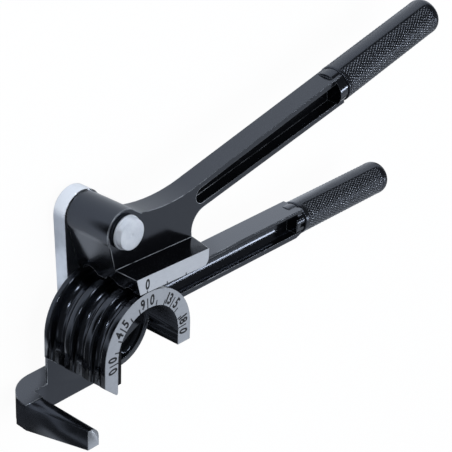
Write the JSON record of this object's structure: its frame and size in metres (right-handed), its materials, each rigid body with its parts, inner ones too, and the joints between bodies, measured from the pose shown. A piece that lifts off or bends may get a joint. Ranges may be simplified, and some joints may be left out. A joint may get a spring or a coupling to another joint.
{
  "type": "tube bending pliers",
  "caption": "Hand tube bender: a grooved half-round former with hook, scale and handle, linked to a lever whose straight shoe presses the tube round it.",
  "frame": {"origin": "on the former's axis, at the back face of the former pin's head, with the tool lying on its back", "axes": "+Z along the former's axis towards the scale, +X along the lower handle, +Y towards the lever's pin"},
  "size_m": [0.2991, 0.1553, 0.0555],
  "materials": {
    "black_paint": "gloss",
    "bright_steel": "brushed",
    "knurled_black": "knurled, satin",
    "bush_bronze": "plain",
    "dark_steel": "blackened"
  },
  "bodies": {
    "former": {"former_casting": "black_paint", "former_pin": "bright_steel", "former_pin_washer": "bright_steel", "lower_grip": "knurled_black", "lower_grip_pin": "dark_steel"},
    "link": {"link_bar": "bright_steel", "link_bush": "bush_bronze", "lever_pin": "bright_steel", "lever_pin_washer": "bright_steel", "lever_pin_ring": "dark_steel"},
    "lever": {"shoe_lever": "black_paint", "lever_bush": "bush_bronze", "upper_grip": "knurled_black", "upper_grip_pin": "dark_steel"}
  },
  "joints": [
    {"name": "link_swing", "type": "hinge", "parent": "former", "child": "link", "pos_m": [0, 0, 0.0087], "axis": [0, 0, 1], "range_deg": [-14, 92]},
    {"name": "lever_swing", "type": "hinge", "parent": "link", "child": "lever", "pos_m": [-0.00288, 0.05883, 0.027], "axis": [0, 0, 1], "range_deg": [0, 100]}
  ]
}
